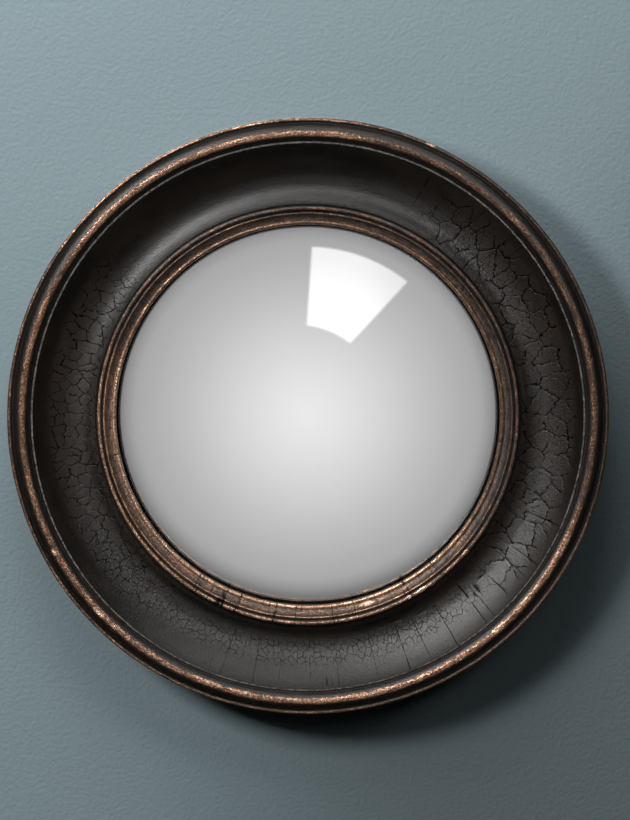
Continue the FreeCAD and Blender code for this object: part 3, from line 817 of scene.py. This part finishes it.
# colours of the finish from unrubbed to bare leaf, as (rub, colour, metal)
rubSteps = ((0.22, (0.0050, 0.0038, 0.0030), 0.0), (0.40, (0.020, 0.012, 0.0078), 0.10),
            (0.56, (0.100, 0.050, 0.029), 0.45), (0.72, (0.36, 0.19, 0.115), 0.75),
            (0.98, (0.78, 0.53, 0.38), 0.85))
lacquer = {
    # noises as (length round the ring, width across it, detail, roughness)
    "patches": (8.0, 2.6, 3, 0.6), "flecks": (1.25, 0.85, 3, 0.7), "grain": (0.95, 0.8, 2, 0.65),
    "clouds": (40, 16, 3, 0.6),
    "patchShare": 0.7, "fleckShare": 1.5,          # how far patches and flecks change the rub
    "warm": (0.013, 0.0082, 0.0055), "warmth": 0.45, "warmRange": (0.40, 0.70),
    "faded": (0.0085, 0.0064, 0.0049),
    "crack": (0.003, 0.003, 0.003), "crackCover": 0.96, "crackMetal": 0.85,
    "dust": (0.20, 0.185, 0.17), "dustRange": (0.40, 0.62),
    "ior": 1.52, "rough": 0.165,
    # what each noise or mask adds to the roughness and to the height of the bump
    "roughShares": {"grain": 0.24, "clouds": 0.08, "metal": -0.06, "dust": 0.35},
    "heightShares": {"flecks": 0.35, "grain": 1.10, "metal": -0.20, "crack": -0.4, "lip": 0.07},
}


def makeFinishGroup():
    # dark lacquer over copper leaf: Wear rubs it through, Crack opens it, Dust greys it
    tree, given, result = shadeGroup(
        "rubbedFinish", [("Wear", 0.0), ("Crack", 0.0), ("Lip", 0.0), ("Faded", 0.0), ("Dust", 0.0)],
        [("Colour", "Color"), ("Metallic", "Float"), ("Roughness", "Float"), ("Height", "Float")])
    spot = place(tree, placeGroup)
    radius, depth, turn = spot["Radius"], spot["Depth"], spot["Turn"]
    patches, flecks, grain, clouds = [ringNoise(tree, radius, turn, depth, *lacquer[name])
                                      for name in ("patches", "flecks", "grain", "clouds")]
    rub = timesPlus(tree, calc(tree, "SUBTRACT", patches, 0.5), lacquer["patchShare"], given["Wear"])
    rub = timesPlus(tree, calc(tree, "SUBTRACT", flecks, 0.5), lacquer["fleckShare"], rub)
    colour = ramp(tree, rub, [(at, shade) for at, shade, metal in rubSteps])
    metal = ramp(tree, rub, [(at, metal) for at, shade, metal in rubSteps])
    warm = times(tree, blendRange(tree, clouds, *lacquer["warmRange"]), lacquer["warmth"])
    colour = mixColour(tree, warm, colour, (*lacquer["warm"], 1), "ADD")
    colour = mixColour(tree, given["Faded"], colour, (*lacquer["faded"], 1), "ADD")
    covered = times(tree, given["Crack"], lacquer["crackCover"])
    colour = mixColour(tree, covered, colour, (*lacquer["crack"], 1))
    dusty = times(tree, given["Dust"], blendRange(tree, flecks, *lacquer["dustRange"]))
    colour = mixColour(tree, dusty, colour, (*lacquer["dust"], 1))
    clean = calc(tree, "SUBTRACT", 1.0, strongest(tree, dusty, given["Crack"]))
    feed(tree, result["Colour"], colour)
    # a crack counts as dark metal, which keeps the gloss out of it
    cracked = times(tree, given["Crack"], lacquer["crackMetal"])
    feed(tree, result["Metallic"], calc(tree, "MAXIMUM", times(tree, metal, clean), cracked))
    masks = {"grain": grain, "flecks": flecks, "clouds": clouds, "metal": metal, "dust": dusty,
             "crack": given["Crack"], "lip": given["Lip"]}
    for output, total, shares in (("Roughness", lacquer["rough"], lacquer["roughShares"]),
                                  ("Height", 0.0, lacquer["heightShares"])):
        for name, share in shares.items():
            total = timesPlus(tree, masks[name], share, total)
        feed(tree, result[output], total)
    return tree


finishGroup = makeFinishGroup()


def crests(tree, radius, lines):
    # strongest of several lines round the ring, each (radius, half width, softness, strength)
    masks = []
    for middle, half, soft, strength in lines:
        away = calc(tree, "ABSOLUTE", calc(tree, "SUBTRACT", radius, middle))
        masks.append(times(tree, blendRange(tree, away, half, half + soft, 1.0, 0.0), strength))
    return strongest(tree, *masks)


# Crests are rubbed, and dust lies on lines like them. Zones, each (angle, half width, softness, strength),
# are rubbed more or less, and the rest at least by "least". Chips and gashes are (angle, radius, half
# length, half width, strength). Rub and dust end behind frontDepth.
beadFinish = {
    "crests": [(180.5, 0.8, 2.8, 0.69), (189.2, 0.6, 1.1, 0.62), (184.6, 1.2, 1.4, 0.20)],
    "zones": [(300, 32, 25, 1.05), (112, 25, 25, 1.06), (240, 25, 25, 0.97), (180, 20, 25, 0.92)],
    "least": 0.76, "frontDepth": 34.0,
    "chips": [(208.0, 182.0, 2.4, 1.6, 0.5), (223.0, 181.4, 4.5, 1.5, 0.4), (311.5, 179.6, 3.0, 1.2, 0.35),
              (66.0, 189.3, 3.4, 0.9, 0.4), (135.0, 186.0, 5.0, 1.6, 0.25)],
    "gashes": [], "cracks": [],
    "dust": [(186.9, 0.5, 0.8, 0.15), (175.4, 0.3, 0.8, 0.3)], "bump": 0.30,
}
coveFinish = {
    "crests": [(174.4, 0.3, 0.6, 0.26), (168.5, 1.0, 3.0, 0.10)],
    "zones": [(20, 30, 25, 1.3)], "least": 0.8, "frontDepth": 19.0,
    "chips": [],
    "gashes": [(313.9, 154.6, 0.55, 3.4, 1.0), (312.7, 156.4, 0.45, 2.0, 0.9), (316.4, 151.2, 2.6, 0.45, 0.9),
               (311.2, 152.6, 1.6, 0.4, 0.8), (286.0, 139.5, 4.0, 0.35, 0.7), (296.5, 141.0, 3.0, 0.35, 0.8)],
    "cracks": [leftCells, rightCells, rightCrazing, coveChecks, lowCrazing],
    "dust": [(174.5, 0.4, 0.4, 0.65), (136.0, 0.6, 2.0, 0.12)], "bump": 0.22,
}
slipFinish = {
    "crests": [(132.2, 0.4, 1.3, 0.57), (129.0, 0.3, 0.7, 0.56), (123.1, 1.2, 1.2, 0.66),
               (126.4, 1.5, 1.5, 0.42)],
    "zones": [(235, 65, 35, 1.25), (300, 20, 20, 1.15)], "least": 0.86, "frontDepth": 23.4,
    "chips": [(303.0, 132.0, 3.6, 1.6, 0.6), (306.5, 133.0, 2.0, 1.0, 0.5), (319.0, 132.4, 2.6, 1.4, 0.45),
              (299.0, 131.8, 2.0, 1.2, 0.5), (312.0, 123.4, 3.4, 1.0, 0.35), (287.0, 126.0, 5.0, 1.4, 0.3)],
    "gashes": [], "cracks": [slipChecks],
    "dust": [(126.5, 1.2, 1.6, 0.3)], "bump": 0.26,
}


def spots(tree, radius, turn, places):
    # oval chips and gashes: angle, radius, half length round the ring, half width across it, strength
    masks = []
    for angle, middle, halfLength, halfWidth, strength in places:
        a = math.radians(angle)
        alongRing = (-math.sin(a) / halfLength, 0.0, math.cos(a) / halfLength)
        along = times(tree, radius, dot(tree, turn, alongRing))
        across = timesPlus(tree, radius, 1 / halfWidth, -middle / halfWidth)
        away = timesPlus(tree, along, along, times(tree, across, across))
        # only on this side of the ring
        outward = dot(tree, turn, (math.cos(a), 0.0, math.sin(a)))
        facing = calc(tree, "GREATER_THAN", outward, 0.5)
        masks.append(times(tree, blendRange(tree, away, 0.2, 1.6, strength, 0.0), facing))
    return strongest(tree, *masks)


def ringMaterial(name, look):
    material, tree, shader = newMaterial(name)
    spot = place(tree, placeGroup)
    radius, depth, turn = spot["Radius"], spot["Depth"], spot["Turn"]
    rubbed = calc(tree, "MAXIMUM", sectors(tree, turn, look["zones"]), look["least"])
    wear = times(tree, crests(tree, radius, look["crests"]), rubbed)
    front = blendRange(tree, depth, look["frontDepth"] - 1.0, look["frontDepth"])
    if look["chips"]:
        wear = calc(tree, "ADD", wear, spots(tree, radius, turn, look["chips"]))
    wear = times(tree, wear, front)
    dust = times(tree, crests(tree, radius, look["dust"]), front)
    crack = lip = faded = 0.0
    if look["cracks"]:
        lines, lips, zones = zip(*[cracks(tree, radius, turn, crackLook) for crackLook in look["cracks"]])
        crack, lip, faded = strongest(tree, *lines), strongest(tree, *lips), strongest(tree, *zones)
    if look["gashes"]:
        crack = calc(tree, "MAXIMUM", crack, spots(tree, radius, turn, look["gashes"]))
    finish = place(tree, finishGroup, Wear=wear, Crack=crack, Lip=lip, Faded=faded, Dust=dust)
    feed(tree, shader["Base Color"], finish["Colour"])
    feed(tree, shader["Metallic"], finish["Metallic"])
    feed(tree, shader["Roughness"], finish["Roughness"])
    feed(tree, shader["Normal"], bump(tree, finish["Height"], 1.0, look["bump"]))
    feed(tree, shader["IOR"], lacquer["ior"])
    return material


def wearMaterial(obj, material):
    obj.data.materials.clear()
    obj.data.materials.append(material)


wearMaterial(bead, ringMaterial("beadLacquer", beadFinish))
wearMaterial(cove, ringMaterial("coveLacquer", coveFinish))
wearMaterial(slip, ringMaterial("slipLacquer", slipFinish))


def glassMaterial():
    material, tree, shader = newMaterial("clearGlass")
    spot = objectPlace(tree)
    feed(tree, shader["Base Color"], (1.0, 1.0, 1.0, 1))
    feed(tree, shader["Transmission Weight"], 1.0)
    feed(tree, shader["IOR"], glass["ior"])
    haze = noise(tree, spot, glass["hazeScale"], 3, 0.6)
    feed(tree, shader["Roughness"], blendRange(tree, haze, *glass["haze"]))
    return material


def silverMaterial():
    material, tree, shader = newMaterial("silvering")
    spot = objectPlace(tree)
    mottle = noise(tree, spot, silver["mottleScale"], 4, 0.6)
    feed(tree, shader["Base Color"], mixColour(tree, mottle, (*silver["colour"], 1), (*silver["mottled"], 1)))
    feed(tree, shader["Metallic"], 1.0)
    feed(tree, shader["Roughness"], blendRange(tree, mottle, *silver["haze"]))
    return material


wearMaterial(glassDome, glassMaterial())
wearMaterial(silverDome, silverMaterial())
print("front materials made")


# the back: bare fibreboard, hardboard, felt, cork and plated steel

def makeFibreGroup():
    # pressed fibres: a fine speckle with longer pale and dark threads
    tree, given, result = shadeGroup("fibres", [("Size", 1.0), ("Threads", 0.5)],
                                     [("Tone", "Float"), ("Height", "Float")])
    spot = scaled(tree, objectPlace(tree), calc(tree, "DIVIDE", 1 / mm, given["Size"]))
    speckle = noise(tree, spot, 0.9, 4, 0.7)
    bent = vectorCalc(tree, "ADD", spot, noise(tree, spot, 0.12, 2, 0.5, output="Color"))
    threads = addNode(tree, "ShaderNodeTexVoronoi", feature="DISTANCE_TO_EDGE")
    feed(tree, threads.inputs["Vector"], vectorCalc(tree, "MULTIPLY", bent, (0.22, 0.9, 0.55)))
    line = blendRange(tree, threads.outputs["Distance"], 0.0, 0.09, 1.0, 0.0)
    line = times(tree, line, given["Threads"])
    feed(tree, result["Tone"], timesPlus(tree, line, 0.5, speckle))
    feed(tree, result["Height"], calc(tree, "ADD", speckle, line))
    return tree


def makeDustGroup():
    # house dust and handling marks in large soft patches
    tree, given, result = shadeGroup("houseDust", [("Amount", 0.5)], [("Mask", "Float")])
    spot = objectPlace(tree)
    patches = noise(tree, spot, 18, 4, 0.65)
    fine = noise(tree, spot, 420, 2, 0.6)
    mask = times(tree, blendRange(tree, patches, 0.42, 0.68), blendRange(tree, fine, 0.35, 0.6))
    feed(tree, result["Mask"], times(tree, mask, given["Amount"]))
    return tree


fibreGroup, houseDustGroup = makeFibreGroup(), makeDustGroup()

grime, stainColour, rustColour = (0.30, 0.28, 0.26), (0.008, 0.007, 0.006), (0.16, 0.070, 0.030)
backFinishes = {
    "fibreboard": {"dark": (0.235, 0.150, 0.085), "pale": (0.42, 0.295, 0.18), "size": 1.0, "threads": 0.35,
                   "roughness": 0.78, "bump": 0.12, "dust": 0.35, "stainedSide": True},
    "hardboard": {"dark": (0.105, 0.055, 0.028), "pale": (0.215, 0.125, 0.066), "size": 1.6, "threads": 0.6,
                  "roughness": 0.55, "bump": 0.10, "dust": 0.45},
    "blackFelt": {"dark": (0.010, 0.010, 0.011), "pale": (0.045, 0.045, 0.048), "size": 0.55, "threads": 1.0,
                  "roughness": 0.95, "bump": 0.35, "dust": 0.55},
    "cork": {"dark": (0.16, 0.085, 0.040), "pale": (0.50, 0.33, 0.18), "size": 2.2, "threads": 0.2,
             "roughness": 0.85, "bump": 0.30, "dust": 0.1},
}


def fibreMaterial(name, look):
    material, tree, shader = newMaterial(name)
    fibres = place(tree, fibreGroup, Size=look["size"], Threads=look["threads"])
    dust = place(tree, houseDustGroup, Amount=look["dust"])["Mask"]
    tone = blendRange(tree, fibres["Tone"], 0.30, 0.75)
    colour = mixColour(tree, tone, (*look["dark"], 1), (*look["pale"], 1))
    if look.get("stainedSide"):
        # the outside edge carries the dark stain of the frame, with runs of it on the back
        spot = place(tree, placeGroup)
        ragged = timesPlus(tree, fibres["Tone"], 3.0, spot["Radius"])
        stain = blendRange(tree, ragged, 184.4, 186.6)
        colour = mixColour(tree, stain, colour, (*stainColour, 1))
    colour = mixColour(tree, times(tree, dust, 0.6), colour, (*grime, 1))
    feed(tree, shader["Base Color"], colour)
    feed(tree, shader["Roughness"], timesPlus(tree, fibres["Tone"], 0.1, look["roughness"] - 0.05))
    feed(tree, shader["Normal"], bump(tree, fibres["Height"], 0.8, look["bump"]))
    return material


def platedSteel(name, tint, wear):
    # zinc plate: faint rolling lines, cloudy passivation, duller and rusty where it wears
    material, tree, shader = newMaterial(name)
    spot = objectPlace(tree)
    lines = noise(tree, vectorCalc(tree, "MULTIPLY", spot, (1.0, 1.0, 0.05)), 2600, 2, 0.6)
    cloud = noise(tree, spot, 190, 3, 0.6)
    specks = noise(tree, spot, 330, 4, 0.7)
    rust = times(tree, blendRange(tree, specks, 0.56, 0.70), wear)
    dull = [0.72 * c for c in tint]
    colour = mixColour(tree, cloud, (*tint, 1), (*dull, 1))
    colour = mixColour(tree, rust, colour, (*rustColour, 1))
    feed(tree, shader["Base Color"], colour)
    feed(tree, shader["Metallic"], timesPlus(tree, rust, -0.9, 1.0))
    rough = timesPlus(tree, lines, 0.16, timesPlus(tree, cloud, 0.15, 0.18))
    feed(tree, shader["Roughness"], timesPlus(tree, rust, 0.35, rough))
    feed(tree, shader["Normal"], bump(tree, calc(tree, "ADD", lines, rust), 0.4, 0.03))
    return material


def dressNode(node, material):
    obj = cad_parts[node]
    if not obj.material_slots:
        obj.data.materials.append(material)
    for slot in obj.material_slots:
        slot.material = material


finishes = {name: fibreMaterial(name, look) for name, look in backFinishes.items()}
finishes["platedSteel"] = platedSteel("platedSteel", (0.66, 0.64, 0.58), 0.5)
finishes["brightSteel"] = platedSteel("brightSteel", (0.72, 0.71, 0.68), 0.2)
dressing = {
    "fibreboard": ["back_ring", "spacer_ring"],
    "hardboard": ["backing_board"],
    "blackFelt": ["wall_felt", "front_felt", "back_felt"],
    "cork": ["edge_corks"],
    "platedSteel": ["hanger_strap", "hanger_ring"] + ["turn_button_%d" % number for number in (1, 2, 3, 4)],
    "brightSteel": ["turn_button_screws", "hanger_screws", "bead_ring_screws", "cove_ring_screws",
                    "slip_pins"],
}
for finish, nodeNames in dressing.items():
    for node in nodeNames:
        dressNode(node, finishes[finish])
print("back materials made")


# the glass mirrors no lamp, the sheen lamps shine on the turned rings alone, and three boxes skip them

def receivers(name, pieces, state):
    group = bpy.data.collections.new(name)
    for piece in pieces:
        group.objects.link(piece)
    for entry in group.collection_objects:
        entry.light_linking.link_state = state
    return group


litBy = {"rings": receivers("ringLight", (bead, cove, slip), "INCLUDE"),
         "others": receivers("otherLight", (bead, cove, slip, glassDome, silverDome), "EXCLUDE"),
         "all": receivers("allLight", (glassDome, silverDome), "EXCLUDE")}
for lamp, target in boxes:
    lamp.light_linking.receiver_collection = litBy[target]
print("lights linked")
